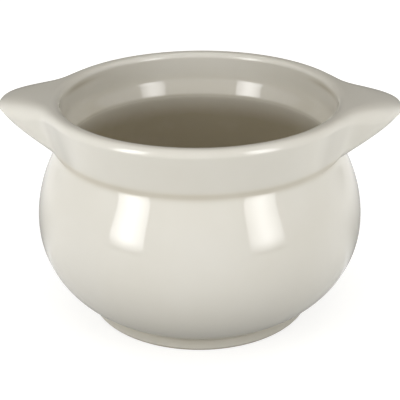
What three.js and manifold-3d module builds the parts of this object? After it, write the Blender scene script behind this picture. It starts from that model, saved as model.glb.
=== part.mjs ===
// Stoneware soup bowl: a round belly on a foot ring, a flared collar with a rounded rim, and two lugs.
// Millimetres, +Z up. The origin is the middle of the foot's underside, and the lugs lie along X.

import * as THREE from 'three';
import { mergeVertices } from 'three/addons/utils/BufferGeometryUtils.js';
import Module from 'manifold-3d';

// Overall
const rimHeight = 74;
const slipGap = 0.3;

// Belly
const bellyRadius = 54.3;
const bellyHeight = 32;
const bellyWall = 5;
const floorThickness = 5.2;
const floorFlat = 24;

// Neck, where the belly ends and the collar begins
const neckRadius = 47.1;
const neckWall = 3.9;
const tongueWidth = 1.2;
const tongueHeight = 1.4;

// Collar and rim
const collarHeight = 15.8;
const collarRadius = 50;
const collarWall = 5;
const collarFoot = 1.5;
const flareRound = 7;
const rimOuterRound = 2.2;
const rimInnerRound = 2;
const rimUndercut = 0.5;
const shoulderStart = 0.8;
const shoulderRise = 5.9;
const shoulderRound = 11;
const throatRound = 2.5;

// Foot ring
const footRadius = 37.9;
const footWidth = 4.2;
const footHeight = 4.6;
const footRecess = 2.4;
const footRound = 1.2;

// Lugs
const lugReach = 65.4;
const lugNoseRound = 8;
const lugNoseDrop = 3.2;
const lugFlankRound = 2.1;
const lugFlankDrop = 1.6;
const lugEdge = 0.3;
const lugRootDrop = 0.3;
const lugSlope = 0.65;
const lugSoftness = 4;
const lugFadeAngle = 40;
const lugBluntness = 2.8;
const lugTaper = 13.5;

// Shares of a curve's height over which it keeps the upright direction of its lower or upper end
const shoulderFullness = 0.57;
const neckFullness = 0.11;

// Steps in the round and along the curves
const turns = 60;
const curveSteps = 8;
const roundSteps = 3;
const rimSteps = 5;
const lugSections = 24;
const lugSteps = 10;
const weldDistance = 1e-4;

const neckHeight = rimHeight - collarHeight;
const throatRadius = neckRadius - neckWall;
const mouthRadius = collarRadius - collarWall;
const crestRadius = collarRadius - rimOuterRound;
const rimEdgeHeight = rimHeight - rimOuterRound;
const flareHeight = neckHeight + collarFoot;
const tongueInside = neckRadius - (neckWall + tongueWidth) / 2;
const tongueOutside = tongueInside + tongueWidth;
const footInside = footRadius - footWidth;
const spigotRadius = footInside - slipGap;
const floorHeight = footRecess + floorThickness;
const lugStand = lugReach - collarRadius;
const lugRootHeight = neckHeight - lugRootDrop;

const glaze = { color: 0xd9d6cb, roughness: 0.18, metalness: 0 };
const footGlaze = { color: 0xd2cdbf, roughness: 0.3, metalness: 0 };

const wasm = await Module();
wasm.setup();

const at = (radius, height) => new THREE.Vector2(radius, height);

// Points of an elliptic arc about a centre, both ends included, angles in degrees from the outward radius.
function arc(centre, across, up, fromAngle, toAngle, steps) {
  const points = [];
  for (let step = 0; step <= steps; step += 1) {
    const angle = THREE.MathUtils.degToRad(fromAngle + (toAngle - fromAngle) * step / steps);
    points.push(at(centre.x + across * Math.cos(angle), centre.y + up * Math.sin(angle)));
  }
  return points;
}

// S-curve between two points of the profile that leaves and arrives upright.
function uprightCurve(low, high, lowFullness, highFullness) {
  const rise = high.y - low.y;
  const lowHandle = at(low.x, low.y + rise * lowFullness);
  const highHandle = at(high.x, high.y - rise * highFullness);
  return new THREE.CubicBezierCurve(low, lowHandle, highHandle, high).getPoints(curveSteps);
}

// Corner between two straight stretches, rounded: only the points of the round stretch.
function roundedCorner(before, corner, after, radius) {
  const toBefore = before.clone().sub(corner).normalize();
  const toAfter = after.clone().sub(corner).normalize();
  const setback = radius / Math.tan(toBefore.angleTo(toAfter) / 2);
  const start = corner.clone().addScaledVector(toBefore, setback);
  const end = corner.clone().addScaledVector(toAfter, setback);
  return new THREE.QuadraticBezierCurve(start, corner, end).getPoints(roundSteps);
}

// A closed profile turned about Z. The profile runs anticlockwise with the radius to the right.
function turned(profile) {
  const closed = [...profile, profile[0].clone()];
  const geometry = new THREE.LatheGeometry(closed, turns);
  geometry.rotateX(Math.PI / 2);
  return geometry;
}

// Outside of the belly, from the foot's edge up to the neck. Below the widest point it is one arc that
// starts upright there and ends at the foot, so its radius follows from those two points.
function bellyOutside() {
  const widest = at(bellyRadius, bellyHeight);
  const run = bellyRadius - footRadius;
  const drop = bellyHeight - footHeight;
  const radius = (run * run + drop * drop) / (2 * run);
  const centre = at(bellyRadius - radius, bellyHeight);
  const footAngle = -THREE.MathUtils.radToDeg(Math.atan2(drop, footRadius - centre.x));
  const bottom = arc(centre, radius, radius, footAngle, 0, curveSteps);
  const top = uprightCurve(widest, at(neckRadius, neckHeight), shoulderFullness, neckFullness);
  return [...bottom, ...top.slice(1)];
}

// Inside of the belly, from the neck down to the flat of the floor
function bellyInside() {
  const widest = at(bellyRadius - bellyWall, bellyHeight);
  const top = uprightCurve(widest, at(throatRadius, neckHeight), shoulderFullness, neckFullness);
  const across = widest.x - floorFlat;
  const bottom = arc(at(floorFlat, bellyHeight), across, bellyHeight - floorHeight, 0, -90, curveSteps);
  return [...top.reverse(), ...bottom.slice(1)];
}

// Outside of the collar, from the neck up to the crest of the rim
function collarOutside() {
  const base = at(neckRadius, neckHeight);
  const flareStart = at(neckRadius, flareHeight);
  const rimCentre = at(crestRadius, rimEdgeHeight);
  const rim = arc(rimCentre, rimOuterRound, rimOuterRound, 0, 90, rimSteps);
  const flare = roundedCorner(base, flareStart, rim[0], flareRound);
  return [base, ...flare, ...rim];
}

// Inside of the collar, from below the crest of the rim, a little out under it, and in to the throat
function collarInside() {
  const rimCentre = at(crestRadius, rimHeight - rimInnerRound);
  const rim = arc(rimCentre, crestRadius - mouthRadius, rimInnerRound, 90, 180, rimSteps);
  const upper = at(mouthRadius + rimUndercut, neckHeight + shoulderStart + shoulderRise);
  const lower = at(throatRadius, neckHeight + shoulderStart);
  const throat = at(throatRadius, neckHeight);
  const upperBend = roundedCorner(rim[rimSteps], upper, lower, shoulderRound);
  const lowerBend = roundedCorner(upper, lower, throat, throatRound);
  return [...rim.slice(1), ...upperBend, ...lowerBend, throat];
}

function bowlBody() {
  return turned([
    at(0, footRecess),
    at(spigotRadius, footRecess),
    at(spigotRadius, footHeight),
    ...bellyOutside(),
    at(tongueOutside, neckHeight),
    at(tongueOutside, neckHeight + tongueHeight),
    at(tongueInside, neckHeight + tongueHeight),
    at(tongueInside, neckHeight),
    ...bellyInside(),
    at(0, floorHeight),
  ]);
}

function rimCollar() {
  const grooveInside = tongueInside - slipGap;
  const grooveOutside = tongueOutside + slipGap;
  const grooveTop = neckHeight + tongueHeight + slipGap;
  return turned([
    ...collarOutside(),
    ...collarInside(),
    at(grooveInside, neckHeight),
    at(grooveInside, grooveTop),
    at(grooveOutside, grooveTop),
    at(grooveOutside, neckHeight),
  ]);
}

function footRing() {
  return turned([
    at(footInside + footRound, 0),
    ...arc(at(footRadius - footRound, footRound), footRound, footRound, -90, 0, roundSteps),
    at(footRadius, footHeight),
    at(footInside, footHeight),
    at(footInside, footRound),
  ]);
}

function solidOf(geometry) {
  const bare = geometry.clone();
  bare.deleteAttribute('normal');
  bare.deleteAttribute('uv');
  const merged = mergeVertices(bare, weldDistance);
  const vertProperties = new Float32Array(merged.attributes.position.array);
  const triVerts = new Uint32Array(merged.index.array);
  return new wasm.Manifold(new wasm.Mesh({ numProp: 3, vertProperties, triVerts }));
}

function geometryOf(solid) {
  const mesh = solid.getMesh();
  const geometry = new THREE.BufferGeometry();
  geometry.setAttribute('position', new THREE.BufferAttribute(new Float32Array(mesh.vertProperties), 3));
  geometry.setIndex(new THREE.BufferAttribute(new Uint32Array(mesh.triVerts), 1));
  geometry.computeVertexNormals();
  return geometry;
}

// Everything inside the outer skin of belly and collar, grown by the slip's thickness
function seatCutter() {
  const skin = [...bellyOutside(), ...collarOutside().slice(1)];
  const grown = skin.map((point, index) => {
    const before = skin[Math.max(index - 1, 0)];
    const after = skin[Math.min(index + 1, skin.length - 1)];
    const along = after.clone().sub(before).normalize();
    return at(point.x + along.y * slipGap, point.y - along.x * slipGap);
  });
  const top = rimHeight + slipGap;
  return turned([at(0, grown[0].y), ...grown, at(grown[grown.length - 1].x, top), at(0, top)]);
}

// The smaller of two lengths, with a soft change from one to the other
function softMinimum(first, second) {
  const share = THREE.MathUtils.clamp((1 + (second - first) / lugSoftness) / 2, 0, 1);
  return THREE.MathUtils.lerp(second, first, share) - lugSoftness * share * (1 - share);
}

// How far the collar's face leans out from the neck at a height
function collarLean(height) {
  const flare = Math.max(height - flareHeight, 0) / (rimEdgeHeight - flareHeight);
  return (collarRadius - neckRadius) * flare;
}

// Upright section of a lug through the bowl's axis, at an angle in degrees from the lug's middle.
// Its side stands out from the collar as far as the outline and the sloping underside let it.
// The top rounds off towards the nose, and more on the flanks, half-way between the nose and the ends.
function lugSection(angle) {
  const share = (1 - (Math.abs(angle) / lugFadeAngle) ** lugBluntness) ** lugTaper;
  const flank = 1 - (2 * share - 1) ** 2;
  const across = THREE.MathUtils.lerp(rimOuterRound, lugNoseRound, share) + lugFlankRound * flank;
  const drop = THREE.MathUtils.lerp(rimOuterRound, lugNoseDrop, share) + lugFlankDrop * flank;
  const edgeHeight = rimHeight - drop;
  const edgeRadius = THREE.MathUtils.lerp(neckRadius + collarLean(edgeHeight), lugReach, share);
  const stand = edgeRadius - neckRadius - collarLean(edgeHeight);
  const section = [at(mouthRadius, lugRootHeight)];
  for (let step = 0; step < lugSteps; step += 1) {
    const height = THREE.MathUtils.lerp(lugRootHeight, edgeHeight, step / lugSteps);
    const lean = collarLean(height);
    const underside = (height - lugRootHeight) / lugSlope - lean;
    section.push(at(neckRadius + lean + softMinimum(stand, underside), height));
  }
  const topRadius = THREE.MathUtils.lerp(collarRadius, lugReach, share) - across;
  section.push(...arc(at(topRadius, edgeHeight), edgeRadius - topRadius, drop, 0, 90, rimSteps));
  section.push(at(mouthRadius, rimHeight));
  return section;
}

// Closed skin over sections that stand at rising angles, in degrees, about the bowl's axis
function swept(sections, angles) {
  const sides = sections[0].length;
  const last = (sections.length - 1) * sides;
  const points = sections.flatMap((section, number) => section.map((point) => {
    const angle = THREE.MathUtils.degToRad(angles[number]);
    return new THREE.Vector3(point.x * Math.cos(angle), point.x * Math.sin(angle), point.y);
  }));
  const index = [];
  for (let here = 0; here < last; here += sides) {
    for (let side = 0; side < sides; side += 1) {
      const next = (side + 1) % sides;
      const there = here + sides;
      index.push(here + side, there + side, there + next);
      index.push(here + side, there + next, here + next);
    }
  }
  for (const [first, second, third] of THREE.ShapeUtils.triangulateShape(sections[0], [])) {
    index.push(first, second, third);
    index.push(last + first, last + third, last + second);
  }
  const geometry = new THREE.BufferGeometry().setFromPoints(points);
  geometry.setIndex(index);
  return geometry;
}

// A lug ends where only its edge is left standing out beyond the slip.
function lug() {
  const endShare = ((slipGap + lugEdge) / lugStand) ** (1 / lugTaper);
  const endAngle = lugFadeAngle * (1 - endShare) ** (1 / lugBluntness);
  const angles = [];
  for (let section = 0; section <= lugSections; section += 1) {
    angles.push(THREE.MathUtils.lerp(-endAngle, endAngle, section / lugSections));
  }
  const blank = solidOf(swept(angles.map(lugSection), angles));
  return geometryOf(blank.subtract(solidOf(seatCutter())));
}

function piece(name, geometry, look) {
  const mesh = new THREE.Mesh(geometry, new THREE.MeshStandardMaterial(look));
  mesh.name = name;
  return mesh;
}

const bowl = new THREE.Group();
bowl.add(piece('bowl_body', bowlBody(), glaze));
bowl.add(piece('rim_collar', rimCollar(), glaze));
bowl.add(piece('foot_ring', footRing(), footGlaze));
bowl.add(piece('right_lug', lug(), glaze));
const leftLug = piece('left_lug', lug(), glaze);
leftLug.rotation.z = Math.PI;
bowl.add(leftLug);

export default bowl;
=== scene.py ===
import math

import bpy
import numpy as np
from mathutils import Matrix, Vector


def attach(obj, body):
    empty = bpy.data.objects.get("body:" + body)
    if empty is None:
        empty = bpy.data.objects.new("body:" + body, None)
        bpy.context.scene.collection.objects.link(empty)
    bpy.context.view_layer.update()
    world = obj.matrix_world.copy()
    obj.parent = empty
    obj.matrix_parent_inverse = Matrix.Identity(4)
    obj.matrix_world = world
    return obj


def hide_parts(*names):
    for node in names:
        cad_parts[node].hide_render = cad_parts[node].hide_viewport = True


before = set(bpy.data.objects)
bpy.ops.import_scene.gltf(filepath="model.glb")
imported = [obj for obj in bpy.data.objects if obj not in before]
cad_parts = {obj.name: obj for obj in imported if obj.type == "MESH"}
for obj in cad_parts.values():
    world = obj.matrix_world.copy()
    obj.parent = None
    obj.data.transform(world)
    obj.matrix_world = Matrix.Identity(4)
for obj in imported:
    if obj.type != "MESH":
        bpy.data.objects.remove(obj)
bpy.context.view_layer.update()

# The solids' sizes, in millimetres and degrees
RIM_HEIGHT = 74.0
BELLY_RADIUS = 54.3
BELLY_HEIGHT = 32.0
BELLY_WALL = 5.0
FLOOR_THICKNESS = 5.2
FLOOR_FLAT = 24.0
NECK_RADIUS = 47.1
NECK_WALL = 3.9
COLLAR_HEIGHT = 15.8
COLLAR_RADIUS = 50.0
COLLAR_WALL = 5.0
COLLAR_FOOT = 1.5
FLARE_ROUND = 7.0
RIM_OUTER_ROUND = 2.2
RIM_INNER_ROUND = 2.0
RIM_UNDERCUT = 0.5
SHOULDER_START = 0.8
SHOULDER_RISE = 5.9
SHOULDER_ROUND = 11.0
THROAT_ROUND = 2.5
FOOT_RADIUS = 37.9
FOOT_WIDTH = 4.2
FOOT_HEIGHT = 4.6
FOOT_RECESS = 2.4
FOOT_ROUND = 1.2
LUG_REACH = 65.4
LUG_NOSE_DROP = 3.2
LUG_ROOT_DROP = 0.3
LUG_SLOPE = 0.65
LUG_SOFTNESS = 4.0
LUG_FADE_ANGLE = 40.0
LUG_BLUNTNESS = 2.8
LUG_TAPER = 13.5
SHOULDER_FULLNESS = 0.57
NECK_FULLNESS = 0.11

# The dressed bowl's own sizes: glaze rounds the lugs' edges and the rim's inner edge differently, and fills
# the crease over the foot and the hollows beside the lugs. The lugs sit in shallow seats in the collar's
# outer skin and run out to nothing at their ends.
RIM_INNER_FULLNESS = 2.4
CREASE_ROUND = 1.6
LUG_NOSE_ROUND = 11.0
LUG_FLANK_ROUND = 1.6
LUG_FLANK_DROP = 1.9
LUG_END_ANGLE = 34.0
LUG_FILLET = 0.036
LUG_FILLET_ANGLE = 24.0
LUG_FILLET_WIDTH = 5.0
LUG_ROOT_MARGIN = 1.0
SEAT_DEPTH = 0.8
SEAT_GAP = 0.08
SEAT_RUN = 2.0
TUCK = 0.05

# Shade painted into the glaze in creases and inside the bowl: how much of it, at which height or angle, how
# far it spreads
# Painted shade in the crease under the collar and in the crease over the foot
NECK_PAINTED_SHADE = 0.6
NECK_PAINTED_SHADE_WIDTH = 1.2
NECK_PAINTED_SHADE_LIFT = 0.4
FOOT_PAINTED_SHADE = 0.46
FOOT_PAINTED_SHADE_WIDTH = 3.5
# Painted shade on the inner shoulder and down inside the bowl under the throat
SHOULDER_PAINTED_SHADE = 0.27
SHOULDER_PAINTED_SHADE_TOP = 67.5
SHOULDER_PAINTED_SHADE_DEPTH = 5.0
INSIDE_PAINTED_SHADE_TOP = 57.4
INSIDE_PAINTED_SHADE_DEPTH = 9.0
# Painted shade under the rim's inner edge beside the lugs, where the rim overhangs the wall
RIM_PAINTED_SHADE = 0.65
RIM_PAINTED_SHADE_HEIGHT = 70.7
RIM_PAINTED_SHADE_WIDTH = 0.9
RIM_PAINTED_SHADE_ANGLE = 20.0
RIM_PAINTED_SHADE_SPAN = 13.0

# Steps in the round, the length of a step along the profile, and the steps of its short curves
TURNS = 360
STEP = 0.6
LEAST_ARC_STEPS = 8
CORNER_STEPS = 8
RIM_STEPS = 24
LUG_TOP_STEPS = 6

# Decimals of a millimetre that tell points apart when they are welded, and a length that counts as none
WELD_DIGITS = 5
TINY = 1e-9

MM = 0.001
NECK_HEIGHT = RIM_HEIGHT - COLLAR_HEIGHT
THROAT_RADIUS = NECK_RADIUS - NECK_WALL
MOUTH_RADIUS = COLLAR_RADIUS - COLLAR_WALL
CREST_RADIUS = COLLAR_RADIUS - RIM_OUTER_ROUND
RIM_EDGE = RIM_HEIGHT - RIM_OUTER_ROUND
FLARE_HEIGHT = NECK_HEIGHT + COLLAR_FOOT
FLOOR_HEIGHT = FOOT_RECESS + FLOOR_THICKNESS
FOOT_INSIDE = FOOT_RADIUS - FOOT_WIDTH
LUG_ROOT = NECK_HEIGHT - LUG_ROOT_DROP


def blend(start, end, share):
    return start + (end - start) * share


def smooth_step(value):
    value = np.clip(value, 0, 1)
    return value * value * (3 - 2 * value)


def swell(place, middle, width):
    """Rise to 1 at the middle and back to nothing."""
    return np.exp(-((place - middle) / width) ** 2)


def soft_minimum(first, second, softness):
    share = np.clip((1 + (second - first) / softness) / 2, 0, 1)
    return blend(second, first, share) - softness * share * (1 - share)


def line(start, end):
    start, end = np.array(start), np.array(end)
    steps = max(int(np.linalg.norm(end - start) / STEP), 1)
    return blend(start, end, np.linspace(0, 1, steps + 1)[:, None])


def arc(centre, across, up, start, end):
    """Elliptic arc about a centre, with angles in degrees from the outward radius."""
    length = max(across, up) * math.radians(abs(end - start))
    angles = np.radians(np.linspace(start, end, max(int(length / STEP), LEAST_ARC_STEPS) + 1))
    return np.column_stack((centre[0] + across * np.cos(angles), centre[1] + up * np.sin(angles)))


def upright_curve(low, high):
    """S-curve that leaves the low point and reaches the high point upright."""
    rise = high[1] - low[1]
    handles = (low[0], low[1] + rise * SHOULDER_FULLNESS), (high[0], high[1] - rise * NECK_FULLNESS)
    a, b, c, d = (np.array(point) for point in (low, *handles, high))
    t = np.linspace(0, 1, int(rise / STEP) + 1)[:, None]
    return a * (1 - t) ** 3 + 3 * b * t * (1 - t) ** 2 + 3 * c * t ** 2 * (1 - t) + d * t ** 3


def rounded_corner(before, corner, after, radius):
    """Round stretch between two straight ones."""
    corner = np.array(corner)
    back = (np.array(before) - corner) / np.linalg.norm(np.array(before) - corner)
    ahead = (np.array(after) - corner) / np.linalg.norm(np.array(after) - corner)
    setback = radius / math.tan(math.acos(np.dot(back, ahead)) / 2)
    start, end = corner + back * setback, corner + ahead * setback
    t = np.linspace(0, 1, CORNER_STEPS + 1)[:, None]
    return start * (1 - t) ** 2 + 2 * corner * t * (1 - t) + end * t ** 2


def joined(*stretches):
    """One profile from stretches that follow each other, without repeated points."""
    points = [stretches[0]]
    for stretch in stretches[1:]:
        gap = np.linalg.norm(stretch[0] - points[-1][-1])
        if gap > STEP:
            points.append(line(points[-1][-1], stretch[0])[1:-1])
        points.append(stretch[1:] if gap < TINY else stretch)
        points = [part for part in points if len(part)]
    return np.concatenate(points)


def belly_arc():
    """Centre and radius of the round stretch under the belly's widest point."""
    run, drop = BELLY_RADIUS - FOOT_RADIUS, BELLY_HEIGHT - FOOT_HEIGHT
    radius = (run ** 2 + drop ** 2) / (2 * run)
    return np.array((BELLY_RADIUS - radius, BELLY_HEIGHT)), radius


def crease():
    """Hollow between the foot's wall and the belly: its points, and the angle where the belly starts."""
    centre, radius = belly_arc()
    middle_radius = FOOT_RADIUS + CREASE_ROUND
    drop = math.sqrt((radius + CREASE_ROUND) ** 2 - (middle_radius - centre[0]) ** 2)
    middle = (middle_radius, BELLY_HEIGHT - drop)
    angle = math.degrees(math.asin(drop / (radius + CREASE_ROUND)))
    return arc(middle, CREASE_ROUND, CREASE_ROUND, 180, 180 - angle), -angle


def foot_outside():
    hollow, _ = crease()
    rounding = arc((FOOT_RADIUS - FOOT_ROUND, FOOT_ROUND), FOOT_ROUND, FOOT_ROUND, -90, 0)
    standing_face = line((FOOT_INSIDE + FOOT_ROUND, 0), (FOOT_RADIUS - FOOT_ROUND, 0))
    return joined(standing_face, rounding, hollow[:1])


def belly_outside():
    centre, radius = belly_arc()
    hollow, angle = crease()
    shoulder = upright_curve((BELLY_RADIUS, BELLY_HEIGHT), (NECK_RADIUS, NECK_HEIGHT))
    return joined(hollow, arc(centre, radius, radius, angle, 0), shoulder)


def collar_outside():
    base, start = (NECK_RADIUS, NECK_HEIGHT), (NECK_RADIUS, FLARE_HEIGHT)
    rim = arc((CREST_RADIUS, RIM_EDGE), RIM_OUTER_ROUND, RIM_OUTER_ROUND, 0, 90)
    return joined(np.array([base]), rounded_corner(base, start, rim[0], FLARE_ROUND), rim)


def collar_inside():
    turn = np.radians(np.linspace(90, 180, RIM_STEPS + 1))
    power = 2 / RIM_INNER_FULLNESS
    across = (CREST_RADIUS - MOUTH_RADIUS) * np.abs(np.cos(turn)) ** power
    drop = RIM_INNER_ROUND * (1 - np.abs(np.sin(turn)) ** power)
    rim = np.column_stack((CREST_RADIUS - across, RIM_HEIGHT - drop))
    upper = (MOUTH_RADIUS + RIM_UNDERCUT, NECK_HEIGHT + SHOULDER_START + SHOULDER_RISE)
    lower = (THROAT_RADIUS, NECK_HEIGHT + SHOULDER_START)
    throat = (THROAT_RADIUS, NECK_HEIGHT)
    upper_bend = rounded_corner(rim[-1], upper, lower, SHOULDER_ROUND)
    lower_bend = rounded_corner(upper, lower, throat, THROAT_ROUND)
    return joined(rim, upper_bend, lower_bend, np.array([throat]))


def belly_inside():
    widest = (BELLY_RADIUS - BELLY_WALL, BELLY_HEIGHT)
    top = upright_curve(widest, (THROAT_RADIUS, NECK_HEIGHT))[::-1]
    bottom = arc((FLOOR_FLAT, BELLY_HEIGHT), widest[0] - FLOOR_FLAT, BELLY_HEIGHT - FLOOR_HEIGHT, 0, -90)
    return joined(top, bottom, line((FLOOR_FLAT, FLOOR_HEIGHT), (0.0, FLOOR_HEIGHT)))


def profile_normals(profile):
    """Outward direction at each point of a profile that runs anticlockwise."""
    along = np.gradient(profile, axis=0)
    outward = np.column_stack((along[:, 1], -along[:, 0]))
    return outward / np.linalg.norm(outward, axis=1)[:, None]


def painted_shade_along(profile, neck, crest):
    """Painted shade along the profile, 0 to 1: in the creases and down inside the bowl."""
    steps = np.linalg.norm(np.diff(profile, axis=0), axis=1)
    run = np.concatenate(([0], np.cumsum(steps)))
    hollow, _ = crease()
    foot = np.argmin(np.linalg.norm(profile - hollow[len(hollow) // 2], axis=1))
    painted_shade = NECK_PAINTED_SHADE * swell(run, run[neck] + NECK_PAINTED_SHADE_LIFT, NECK_PAINTED_SHADE_WIDTH)
    painted_shade += FOOT_PAINTED_SHADE * swell(run, run[foot], FOOT_PAINTED_SHADE_WIDTH)
    inside = profile[crest:, 1]
    shoulder = smooth_step((SHOULDER_PAINTED_SHADE_TOP - inside) / SHOULDER_PAINTED_SHADE_DEPTH)
    below = smooth_step((INSIDE_PAINTED_SHADE_TOP - inside) / INSIDE_PAINTED_SHADE_DEPTH)
    painted_shade[crest:] = SHOULDER_PAINTED_SHADE * shoulder + (1 - SHOULDER_PAINTED_SHADE) * below
    return painted_shade


def painted_rim_shade(height, from_lug):
    """Painted shade under the rim's inner edge, beside the lugs: a row of heights for each angle."""
    along = swell(from_lug, RIM_PAINTED_SHADE_ANGLE, RIM_PAINTED_SHADE_SPAN)
    return RIM_PAINTED_SHADE * along[:, None] * swell(height, RIM_PAINTED_SHADE_HEIGHT, RIM_PAINTED_SHADE_WIDTH)


def from_nearest_lug(degrees):
    folded = degrees % 180
    return np.minimum(folded, 180 - folded)


def turned(radius, height, angles):
    """Points or directions turned about Z. Radius and height may differ from angle to angle."""
    angles = angles[:, None]
    height = np.broadcast_to(height, np.broadcast_shapes(np.shape(radius), np.shape(height), angles.shape))
    return np.stack((radius * np.cos(angles), radius * np.sin(angles), height), axis=-1)


class Bowl:
    """The bowl's skin as one profile, from the standing face over the rim to the middle of the floor."""

    def __init__(self):
        stretches = foot_outside(), belly_outside(), collar_outside(), collar_inside(), belly_inside()
        ends = np.cumsum([len(stretch) - 1 for stretch in stretches])
        self.foot_top, self.neck, self.crest, self.throat, self.middle = ends
        self.profile = joined(*stretches)
        self.normals = profile_normals(self.profile)
        self.painted_shade = painted_shade_along(self.profile, self.neck, self.crest)
        self.degrees = np.linspace(0, 360, TURNS + 1)
        self.angles = np.radians(self.degrees)

    def skin(self, start, end):
        """Stretch of the profile, turned all round: points, directions and painted shade."""
        part = slice(start, end + 1)
        points, normals = (turned(*rows[part].T, self.angles) for rows in (self.profile, self.normals))
        return points, normals, self.painted_shade[part]

    def hidden(self, *points):
        """Turned surface through radii and heights that another piece hides."""
        return turned(*np.array(points).T, self.angles), None, 0

    def collar_rows(self):
        """The collar's outer skin: points, directions and painted shade from the neck up to the crest."""
        part = slice(self.neck, self.crest + 1)
        return self.profile[part], self.normals[part], self.painted_shade[part]

    def seat(self, degrees, depth):
        """The collar's outer skin, let in under a lug: not at the lug's ends nor along the crest."""
        rows, normals, _ = self.collar_rows()
        inner = np.clip((LUG_END_ANGLE - np.abs(degrees)) / SEAT_RUN, 0, 1)[:, None]
        deep = depth * inner * np.clip((RIM_HEIGHT - rows[:, 1]) / SEAT_DEPTH, 0, 1)
        return rows[:, 0] - deep * normals[:, 0], rows[:, 1] - deep * normals[:, 1]


def stacked(patches):
    """Corners, directions, painted shade and faces of grids of points, one grid after the other."""
    corners, directions, painted_shades, faces = [], [], [], []
    offset = 0
    for points, normals, painted_shade in patches:
        rows, columns = points.shape[:2]
        count = rows * columns
        index = offset + np.arange(count).reshape(rows, columns)
        quads = np.stack((index[:-1, :-1], index[1:, :-1], index[1:, 1:], index[:-1, 1:]), axis=-1)
        corners.append(points.reshape(-1, 3))
        directions.append(np.zeros((count, 3)) if normals is None else normals.reshape(-1, 3))
        painted_shades.append(np.broadcast_to(painted_shade, (rows, columns)).ravel())
        faces.append(quads.reshape(-1, 4))
        offset += count
    return [np.concatenate(part) for part in (corners, directions, painted_shades, faces)]


def mesh_piece(name, patches, node, material):
    """Piece from grids of points, welded where they meet. A grid with no directions of its own is flat."""
    corners, directions, painted_shades, faces = stacked(patches)
    rounded = np.round(corners, WELD_DIGITS)
    _, first, weld = np.unique(rounded, axis=0, return_index=True, return_inverse=True)
    weld = weld.ravel()
    polygons, normals = [], []
    for face in faces:
        kept = [number for place, number in enumerate(face) if weld[number] != weld[face[place - 1]]]
        if len(kept) < 3:
            continue
        polygons.append([int(weld[number]) for number in kept])
        flat = np.cross(corners[kept[1]] - corners[kept[0]], corners[kept[2]] - corners[kept[0]])
        flat = flat / np.linalg.norm(flat)
        normals += [directions[number] if directions[number].any() else flat for number in kept]
    mesh = bpy.data.meshes.new(name)
    mesh.from_pydata((corners[first] * MM).tolist(), [], polygons)
    mesh.polygons.foreach_set("use_smooth", [True] * len(polygons))
    mesh.normals_split_custom_set([tuple(normal) for normal in normals])
    # Each point carries its share of painted shade
    mesh.attributes.new("painted_shade", "FLOAT", "POINT").data.foreach_set("value", painted_shades[first])
    mesh.materials.append(material)
    piece = bpy.data.objects.new(name, mesh)
    bpy.context.scene.collection.objects.link(piece)
    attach(piece, "root")
    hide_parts(node)


def make_foot(bowl, glaze):
    top = bowl.profile[bowl.foot_top]
    mesh_piece("foot_ring_glazed", [
        bowl.skin(0, bowl.foot_top),
        bowl.hidden(top, (FOOT_INSIDE, top[1]), (FOOT_INSIDE, FOOT_ROUND), bowl.profile[0]),
    ], "foot_ring", glaze)


def make_body(bowl, glaze):
    foot_top = bowl.profile[bowl.foot_top]
    mesh_piece("bowl_body_glazed", [
        bowl.skin(bowl.foot_top, bowl.neck),
        bowl.hidden(bowl.profile[bowl.neck], bowl.profile[bowl.throat]),
        bowl.skin(bowl.throat, bowl.middle),
        bowl.hidden((0, FOOT_RECESS), (FOOT_INSIDE, FOOT_RECESS), (FOOT_INSIDE, foot_top[1]), foot_top),
    ], "bowl_body", glaze)


def make_collar(bowl, glaze):
    _, normals, painted_shade = bowl.collar_rows()
    from_lug = from_nearest_lug(bowl.degrees)
    outer = turned(*bowl.seat(from_lug, SEAT_DEPTH), bowl.angles)
    inner, inner_normals, inner_painted_shade = bowl.skin(bowl.crest, bowl.throat)
    inner_height = bowl.profile[bowl.crest:bowl.throat + 1, 1]
    mesh_piece("rim_collar_glazed", [
        (outer, turned(*normals.T, bowl.angles), painted_shade),
        # The inner skin carries painted shade, with more under the rim beside the lugs
        (inner, inner_normals, inner_painted_shade + painted_rim_shade(inner_height, from_lug)),
        bowl.hidden(bowl.profile[bowl.throat], bowl.profile[bowl.neck]),
    ], "rim_collar", glaze)


def lug_outline(degrees):
    fillet = LUG_FILLET * swell(np.abs(degrees), LUG_FILLET_ANGLE, LUG_FILLET_WIDTH)
    return (1 - (np.abs(degrees) / LUG_FADE_ANGLE) ** LUG_BLUNTNESS) ** LUG_TAPER + fillet


def lug_share(degrees):
    """Share of a lug's full reach at an angle from its middle, down to nothing at its ends."""
    end = lug_outline(LUG_END_ANGLE)
    return (lug_outline(degrees) - end) / (1 - end)


def lug_side(height, lean, stand):
    """How far the lug's side stands out from the collar at a height, over its sloping underside."""
    softness = np.clip(2 * stand, TINY, LUG_SOFTNESS)
    underside = (height - LUG_ROOT) / LUG_SLOPE - lean
    return soft_minimum(stand, underside, softness)


def rows_under_neck():
    """The belly's skin from under the lugs' roots up to the neck, without the neck itself."""
    belly = belly_outside()
    return belly[belly[:, 1] > LUG_ROOT - LUG_ROOT_MARGIN][:-1]


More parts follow.
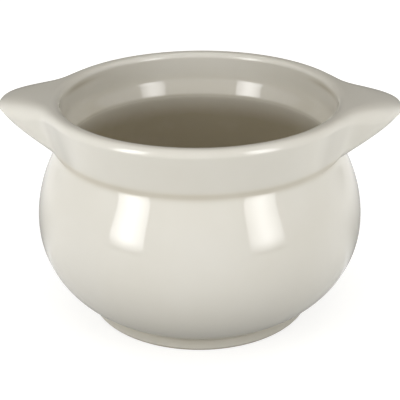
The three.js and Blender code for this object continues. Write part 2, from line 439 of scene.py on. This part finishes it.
def lug_sections(degrees, below, rows):
    """Radius and height along a lug's skin, from under the neck to the rim's crest, for each angle."""
    share = lug_share(degrees)[:, None]
    flank = 1 - (2 * share - 1) ** 2

    def collar_face(height):
        return np.interp(height, rows[:, 1], rows[:, 0])

    drop = blend(RIM_OUTER_ROUND, LUG_NOSE_DROP, share) + LUG_FLANK_DROP * flank
    edge_height = RIM_HEIGHT - drop
    stand = (LUG_REACH - collar_face(edge_height)) * share
    below_stand = lug_side(below[:, 1], below[:, 0] - NECK_RADIUS, stand)
    below_radius = below[:, 0] - TUCK + np.maximum(below_stand, -2 * TUCK)
    below_height = np.broadcast_to(below[:, 1], below_radius.shape)
    side = rows[rows[:, 1] < RIM_EDGE, 1]
    side_height = blend(NECK_HEIGHT, edge_height, (side - NECK_HEIGHT) / (RIM_EDGE - NECK_HEIGHT))
    side_face = collar_face(side_height)
    side_radius = side_face + np.maximum(lug_side(side_height, side_face - NECK_RADIUS, stand), 0)
    turn = np.radians(np.linspace(0, 90, len(rows) - len(side)))
    across = blend(RIM_OUTER_ROUND, LUG_NOSE_ROUND, share) + LUG_FLANK_ROUND * flank
    top_edge = blend(COLLAR_RADIUS, LUG_REACH, share) - across
    round_radius = blend(top_edge, collar_face(edge_height) + stand, np.cos(turn))
    round_height = edge_height + drop * np.sin(turn)
    top_radius = blend(top_edge, CREST_RADIUS, np.linspace(0, 1, LUG_TOP_STEPS + 1)[1:])
    top_height = np.full(top_radius.shape, RIM_HEIGHT)
    radius = np.concatenate((below_radius, side_radius, round_radius, top_radius), axis=1)
    height = np.concatenate((below_height, side_height, round_height, top_height), axis=1)
    return radius, height


def lug_skin(degrees, below, rows):
    """A lug's outer skin, level along its top and as the bowl's own at its ends: points and directions."""
    angles = np.radians(degrees)
    points = turned(*lug_sections(degrees, below, rows), angles)
    normals = np.cross(np.gradient(points, axis=0), np.gradient(points, axis=1))
    normals[:, len(below) + len(rows) - 1:] = (0, 0, 1)
    normals /= np.maximum(np.linalg.norm(normals, axis=2), TINY)[..., None]
    plain = profile_normals(np.concatenate((below, rows)))
    for end in (0, -1):
        normals[end, :len(plain)] = turned(*plain.T, angles[[end]])[0]
    return points, normals


def make_lugs(bowl, glaze):
    rows, _, painted_shade = bowl.collar_rows()
    below = rows_under_neck()
    step = 360 / TURNS
    degrees = np.arange(-LUG_END_ANGLE, LUG_END_ANGLE + step / 2, step)
    points, normals = lug_skin(degrees, below, rows)
    # Painted shade on the lug: the neck's share below, the collar's along its side, none on top
    lug_painted_shade = np.concatenate((np.full(len(below), painted_shade[0]), painted_shade, np.zeros(LUG_TOP_STEPS)))
    back = turned(*bowl.seat(degrees, SEAT_DEPTH - SEAT_GAP), np.radians(degrees))
    root = np.concatenate((points[:, :1], back[:, :1]), axis=1)
    for name, node, side in (("right_lug_glazed", "right_lug", 1), ("left_lug_glazed", "left_lug", -1)):
        swing = np.array((side, side, 1))
        mesh_piece(name, [
            (points * swing, normals * swing, lug_painted_shade),
            (back[:, ::-1] * swing, None, 0),
            (root[:, ::-1] * swing, None, 0),
        ], node, glaze)


# The camera stands where the photograph was taken from.
CAMERA_PLACE = Vector((0.000126, -0.311646, 0.181474))
CAMERA_TURN = math.radians(3.25)
CAMERA_PITCH = math.radians(25.037)
CAMERA_ROLL = math.radians(-0.428)
CAMERA_LENS = 91.04
CAMERA_SENSOR = 36
CAMERA_NEAR = 0.01


def make_camera():
    ahead = Vector((0, math.cos(CAMERA_PITCH), -math.sin(CAMERA_PITCH)))
    up = Vector((0, math.sin(CAMERA_PITCH), math.cos(CAMERA_PITCH)))
    right = Vector((1, 0, 0))
    rolled_right = right * math.cos(CAMERA_ROLL) + up * math.sin(CAMERA_ROLL)
    rolled_up = up * math.cos(CAMERA_ROLL) - right * math.sin(CAMERA_ROLL)
    stand = Matrix((rolled_right, rolled_up, -ahead)).transposed().to_4x4()
    stand.translation = CAMERA_PLACE
    data = bpy.data.cameras.new("camera")
    data.lens = CAMERA_LENS
    data.sensor_width = CAMERA_SENSOR
    data.clip_start = CAMERA_NEAR
    camera = bpy.data.objects.new("camera", data)
    camera.matrix_world = Matrix.Rotation(CAMERA_TURN, 4, "Z") @ stand
    bpy.context.scene.collection.objects.link(camera)
    bpy.context.scene.camera = camera


# Places of the mix node's sockets: share, first value and second value, and the result
COLOUR_SOCKETS = (0, 6, 7)
COLOUR_RESULT = 2
NUMBER_SOCKETS = (0, 2, 3)
NUMBER_RESULT = 0


class Nodes:
    """Short calls for a material's or world's nodes."""

    def __init__(self, owner):
        owner.use_nodes = True
        self.tree = owner.node_tree
        self.tree.nodes.clear()

    def add(self, kind, **values):
        node = self.tree.nodes.new(kind)
        for name, value in values.items():
            setattr(node, name, value)
        return node

    def link(self, source, target):
        self.tree.links.new(source, target)

    def place(self, kind):
        return self.add("ShaderNodeTexCoord").outputs[kind]

    def split(self, vector):
        node = self.add("ShaderNodeSeparateXYZ")
        self.link(vector, node.inputs[0])
        return node.outputs

    def length(self, vector):
        node = self.add("ShaderNodeVectorMath", operation="LENGTH")
        self.link(vector, node.inputs[0])
        return node.outputs["Value"]

    def noise(self, place, scale, detail):
        node = self.add("ShaderNodeTexNoise")
        node.inputs["Scale"].default_value = scale
        node.inputs["Detail"].default_value = detail
        self.link(place, node.inputs["Vector"])
        return node.outputs["Fac"]

    def ramp(self, value, first, second):
        """Colour between two stops, each a position and a colour."""
        node = self.add("ShaderNodeValToRGB")
        for element, (position, colour) in zip(node.color_ramp.elements, (first, second)):
            element.position = position
            element.color = (*colour, 1)
        self.link(value, node.inputs["Fac"])
        return node.outputs["Color"]

    def span(self, value, old, new):
        """A value's old range, spread over a new one."""
        node = self.add("ShaderNodeMapRange")
        for name, number in zip(("From Min", "From Max", "To Min", "To Max"), (*old, *new)):
            node.inputs[name].default_value = number
        self.link(value, node.inputs["Value"])
        return node.outputs["Result"]

    def math(self, operation, first, second=0.0):
        node = self.add("ShaderNodeMath", operation=operation)
        for socket, value in zip(node.inputs, (first, second)):
            if isinstance(value, (int, float)):
                socket.default_value = value
            else:
                self.link(value, socket)
        return node.outputs["Value"]

    def mix(self, share, first, second):
        """The first colour, or the second where the share is 1."""
        node = self.add("ShaderNodeMix", data_type="RGBA")
        for socket, value in zip(COLOUR_SOCKETS, (share, first, second)):
            if isinstance(value, tuple):
                node.inputs[socket].default_value = (*value, 1)
            else:
                self.link(value, node.inputs[socket])
        return node.outputs[COLOUR_RESULT]

    def choose(self, share, first, second):
        """The first number, or the second where the share is 1."""
        node = self.add("ShaderNodeMix", data_type="FLOAT")
        for socket, value in zip(NUMBER_SOCKETS, (share, first, second)):
            self.link(value, node.inputs[socket])
        return node.outputs[NUMBER_RESULT]

    def combine(self, kind, *sources):
        """A node that takes its inputs in order."""
        node = self.add(kind)
        for socket, source in zip(node.inputs, sources):
            self.link(source, socket)
        return node.outputs[0]

    def glow(self, strength):
        node = self.add("ShaderNodeEmission")
        self.link(strength, node.inputs["Strength"])
        return node.outputs[0]

    def finish(self, surface, kind="ShaderNodeOutputMaterial"):
        self.link(surface, self.add(kind).inputs["Surface"])

    def seen(self):
        """1 where the camera sees a surface straight, and 1 where it sees it mirrored or through glass."""
        path = self.add("ShaderNodeLightPath").outputs
        mirrored = self.math("MAXIMUM", path["Is Glossy Ray"], path["Is Transmission Ray"])
        return path["Is Camera Ray"], mirrored


WHITE = (1, 1, 1, 1)
UNIT = (0.0, 1.0)
FALLING = (1.0, 0.0)

# The glaze and the bare clay: colours, noises as scale and detail, the part of a noise's range that counts
# and what it is spread over, and gloss. The clay's edge, its waver and the ripple's depth are in metres.
IVORY_DEEP = (0.735, 0.712, 0.640)
IVORY_PALE = (0.765, 0.745, 0.682)
# Painted shade: the tone the glaze is darkened toward in creases, under the rim and inside the bowl
PAINTED_SHADE_TONE = (0.46, 0.41, 0.305)
CLAY_DARK = (0.42, 0.36, 0.28)
CLAY_PALE = (0.56, 0.50, 0.41)
NOISE_RANGE = (0.3, 0.7)
GRAIN_RANGE = (0.35, 0.65)
CLOUD_NOISE = (38, 3)
PAINTED_SHADE_NOISE = (90, 2)
GLOSS_NOISE = (120, 2)
RIPPLE_NOISE = (260, 1)
WAVER_NOISE = (700, 2)
GRAIN_NOISE = (2600, 4)
PAINTED_SHADE_UNEVENNESS = (0.92, 1.08)
GLAZE_ROUGHNESS = (0.016, 0.036)
GLAZE_IOR = 1.66
RIPPLE_STRENGTH = 0.2
RIPPLE_DEPTH = 0.00004
CLAY_ROUGHNESS = 0.85
CLAY_EDGE = (0.0007, 0.001)
CLAY_WAVER = (-0.0001, 0.0001)


def make_glaze(name, bare_foot):
    """Ivory glaze, darkened toward a painted shade tone where the mesh marks painted shade. A bare foot is
    wiped to the clay where it stands.
    """
    material = bpy.data.materials.new(name)
    nodes = Nodes(material)
    place = nodes.place("Object")
    cloud = nodes.noise(place, *CLOUD_NOISE)
    ivory = nodes.ramp(cloud, (NOISE_RANGE[0], IVORY_DEEP), (NOISE_RANGE[1], IVORY_PALE))
    # Painted shade: the mesh's share darkens the ivory toward the shade tone
    painted_shade = nodes.add("ShaderNodeAttribute", attribute_name="painted_shade").outputs["Fac"]
    uneven = nodes.span(nodes.noise(place, *PAINTED_SHADE_NOISE), NOISE_RANGE, PAINTED_SHADE_UNEVENNESS)
    colour = nodes.mix(nodes.math("MULTIPLY", painted_shade, uneven), ivory, PAINTED_SHADE_TONE)
    roughness = nodes.span(nodes.noise(place, *GLOSS_NOISE), NOISE_RANGE, GLAZE_ROUGHNESS)
    ripple = nodes.noise(place, *RIPPLE_NOISE)
    if bare_foot:
        waver = nodes.span(nodes.noise(place, *WAVER_NOISE), NOISE_RANGE, CLAY_WAVER)
        edge = nodes.math("ADD", nodes.split(place)["Z"], waver)
        clay_share = nodes.span(edge, CLAY_EDGE, FALLING)
        grain = nodes.noise(place, *GRAIN_NOISE)
        clay = nodes.ramp(grain, (GRAIN_RANGE[0], CLAY_DARK), (GRAIN_RANGE[1], CLAY_PALE))
        colour = nodes.mix(clay_share, colour, clay)
        roughness = nodes.math("MAXIMUM", roughness, nodes.math("MULTIPLY", clay_share, CLAY_ROUGHNESS))
        ripple = nodes.math("ADD", ripple, nodes.math("MULTIPLY", clay_share, grain))
    bump = nodes.add("ShaderNodeBump")
    bump.inputs["Strength"].default_value = RIPPLE_STRENGTH
    bump.inputs["Distance"].default_value = RIPPLE_DEPTH
    nodes.link(ripple, bump.inputs["Height"])
    shader = nodes.add("ShaderNodeBsdfPrincipled")
    shader.inputs["IOR"].default_value = GLAZE_IOR
    nodes.link(colour, shader.inputs["Base Color"])
    nodes.link(roughness, shader.inputs["Roughness"])
    nodes.link(bump.outputs["Normal"], shader.inputs["Normal"])
    nodes.finish(shader.outputs["BSDF"])
    return material


def stage_mesh(name, corners, faces, material):
    mesh = bpy.data.meshes.new(name)
    mesh.from_pydata(corners, [], faces)
    mesh.materials.append(material)
    thing = bpy.data.objects.new(name, mesh)
    bpy.context.scene.collection.objects.link(thing)
    return thing


# The stage, in metres from the bowl's axis. The floor glows beside the bowl and behind it, less in front of
# it, and is painted greyer close to it, as the bowl's shade.
FLOOR_REACH = 3.0
PAPER = (0.31, 0.305, 0.28, 1)
GLOW_BESIDE = 2.0
GLOW_BEFORE = 0.22
GLOW_REACH = (0.075, 0.27)
GLOW_FRONT = (-0.12, 0.0)
SHADE_REACH = 0.09
SHADE_SAMPLES = 8
SEEN_WHITE = (0.72, 0.95)
MIRRORED_WHITE = 0.9


def make_floor():
    """White paper, lit from under away from the bowl, which keeps the lamps' shadows, with shade painted on
    it close to the bowl.
    """
    material = bpy.data.materials.new("white_paper")
    material.cycles.emission_sampling = "NONE"
    nodes = Nodes(material)
    paper = nodes.add("ShaderNodeBsdfDiffuse")
    paper.inputs["Color"].default_value = PAPER
    shade = nodes.add("ShaderNodeAmbientOcclusion", samples=SHADE_SAMPLES)
    shade.inputs["Distance"].default_value = SHADE_REACH
    # Painted shade: the floor's white, as seen and as mirrored, is greyed by the bowl's occlusion, and its
    # glow fades close to the bowl
    open_air = shade.outputs["AO"]
    point = nodes.place("Object")
    far = nodes.span(nodes.length(point), GLOW_REACH, UNIT)
    beside = nodes.span(nodes.split(point)["Y"], GLOW_FRONT, (GLOW_BEFORE, GLOW_BESIDE))
    straight, mirrored = nodes.seen()
    mirrored_white = nodes.math("MULTIPLY", open_air, MIRRORED_WHITE)
    strength = nodes.choose(mirrored, nodes.math("MULTIPLY", far, beside), mirrored_white)
    strength = nodes.choose(straight, strength, nodes.span(open_air, UNIT, SEEN_WHITE))
    nodes.finish(nodes.combine("ShaderNodeAddShader", paper.outputs[0], nodes.glow(strength)))
    corners = [(x * FLOOR_REACH, y * FLOOR_REACH, 0) for x, y in ((-1, -1), (1, -1), (1, 1), (-1, 1))]
    stage_mesh("floor", corners, [(0, 1, 2, 3)], material)


# Light from all round: strengths, the directions that they fade over, and its colour level and from above
FILL_BEFORE = 0.04
FILL_BEHIND = 0.05
FILL_BESIDE = 0.22
FILL_ABOVE = 0.42
FILL_DEPTH = (-0.7, 0.3)
FILL_SIDE = (0.4, 1.0)
WARM_LEVEL = (1.0, 0.985, 0.95)
WARM_ABOVE = (1.0, 0.945, 0.85)
WARM_TOP = 0.8


def make_world():
    """White surroundings, with a weak fill that comes mostly from the sides and from above."""
    world = bpy.data.worlds.new("studio")
    bpy.context.scene.world = world
    nodes = Nodes(world)
    direction = nodes.split(nodes.place("Generated"))
    around = nodes.span(direction["Y"], FILL_DEPTH, (FILL_BEFORE, FILL_BEHIND))
    beside = nodes.span(nodes.math("ABSOLUTE", direction["X"]), FILL_SIDE, (0.0, FILL_BESIDE))
    above = nodes.span(direction["Z"], UNIT, (0.0, FILL_ABOVE))
    warmth = nodes.ramp(direction["Z"], (0.0, WARM_LEVEL), (WARM_TOP, WARM_ABOVE))
    strength = nodes.math("ADD", nodes.math("ADD", around, beside), above)
    fill = nodes.combine("ShaderNodeBackground", warmth, strength)
    white = nodes.add("ShaderNodeBackground")
    white.inputs["Color"].default_value = WHITE
    seen = nodes.math("MAXIMUM", *nodes.seen())
    surface = nodes.combine("ShaderNodeMixShader", seen, fill, white.outputs[0])
    nodes.finish(surface, "ShaderNodeOutputWorld")


ROUND_STEPS = 34


def part_circle(radius, height, degrees):
    angles = np.radians(np.linspace(*degrees, ROUND_STEPS + 1))
    return [(radius * math.cos(angle), radius * math.sin(angle), height) for angle in angles]


def stage_strip(name, first, second, material):
    """Surface between two rows of points, which shows only in the glaze's gloss."""
    count = len(first)
    faces = [(place, place + 1, count + place + 1, count + place) for place in range(count - 1)]
    strip = stage_mesh(name, first + second, faces, material)
    strip.visible_camera = False
    strip.visible_diffuse = False
    strip.visible_shadow = False


CLOTH_RADIUS = 0.6
CLOTH_HEIGHT = 0.8
CLOTH_ANGLES = (20, 160)
CLOTH_FADE = (0.24, 0.51)
CLOTH_GREYS = (1.0, 0.15)


def make_cloth():
    """Grey cloth hung round the back, out of sight, which gives the pale glaze its darker edges."""
    material = bpy.data.materials.new("grey_cloth")
    nodes = Nodes(material)
    grey = nodes.span(nodes.split(nodes.place("Object"))["Y"], CLOTH_FADE, CLOTH_GREYS)
    nodes.finish(nodes.glow(grey))
    foot, head = (part_circle(CLOTH_RADIUS, height, CLOTH_ANGLES) for height in (0.0, CLOTH_HEIGHT))
    stage_strip("grey_cloth", foot, head, material)


CARD_REACH = (0.045, 0.24)
CARD_LIFT = 0.0005
CARD_ANGLES = (5, 175)
CARD_FADE = (0.1, 0.24)
CARD_GREYS = (0.33, 1.1)
CARD_ENDS = (1.1, 1.1, 1.1)
CARD_END_FADE = (0.09, 0.34)


def make_card():
    """Grey card on the floor round the back, paler further out and at its ends, which the glaze mirrors."""
    material = bpy.data.materials.new("grey_card")
    nodes = Nodes(material)
    point = nodes.place("Object")
    away = nodes.length(point)
    behind = nodes.span(nodes.math("DIVIDE", nodes.split(point)["Y"], away), CARD_END_FADE, UNIT)
    card = nodes.add("ShaderNodeEmission")
    nodes.link(nodes.mix(behind, CARD_ENDS, nodes.span(away, CARD_FADE, CARD_GREYS)), card.inputs["Color"])
    nodes.finish(card.outputs[0])
    inner, outer = (part_circle(reach, CARD_LIFT, CARD_ANGLES) for reach in CARD_REACH)
    stage_strip("grey_card", outer, inner, material)


# Softboxes: each one's degrees round from straight in front of the bowl, and its strength
SOFTBOXES = {"left_softbox": (-44.5, 7.2), "right_softbox": (46.9, 5.8)}
SOFTBOX_WIDTH = 0.212
SOFTBOX_HEIGHT = 0.5
SOFTBOX_DISTANCE = 0.5
SOFTBOX_CENTRE = 0.5
SOFTBOX_MIDDLE = (0.08, 0.5)
SOFTBOX_LEVELS = (1.0, 0.5)
SOFTBOX_BOTTOM = (0.0, 0.16)


def make_softbox(name, azimuth, strength):
    """Standing softbox that the camera doesn't see, brightest in its middle and dark at its foot."""
    material = bpy.data.materials.new(name)
    nodes = Nodes(material)
    place = nodes.split(nodes.place("Generated"))
    across = nodes.math("ABSOLUTE", nodes.math("SUBTRACT", place["X"], SOFTBOX_CENTRE))
    middle = nodes.span(across, SOFTBOX_MIDDLE, SOFTBOX_LEVELS)
    rising = nodes.span(place["Z"], SOFTBOX_BOTTOM, UNIT)
    level = nodes.math("MULTIPLY", middle, rising)
    nodes.finish(nodes.glow(nodes.math("MULTIPLY", level, strength)))
    half = SOFTBOX_WIDTH / 2
    corners = [(-half, 0, 0), (half, 0, 0), (half, 0, SOFTBOX_HEIGHT), (-half, 0, SOFTBOX_HEIGHT)]
    box = stage_mesh(name, corners, [(0, 1, 2, 3)], material)
    swing = Matrix.Rotation(math.radians(azimuth), 4, "Z")
    box.matrix_world = swing @ Matrix.Translation((0, -SOFTBOX_DISTANCE, 0))
    box.visible_camera = False


bpy.context.scene.view_settings.view_transform = "Standard"
make_camera()
make_floor()
make_world()
make_cloth()
make_card()
for name, (azimuth, strength) in SOFTBOXES.items():
    make_softbox(name, azimuth, strength)

bowl = Bowl()
ivory_glaze = make_glaze("ivory_glaze", False)
make_foot(bowl, make_glaze("foot_glaze", True))
make_body(bowl, ivory_glaze)
make_collar(bowl, ivory_glaze)
make_lugs(bowl, ivory_glaze)
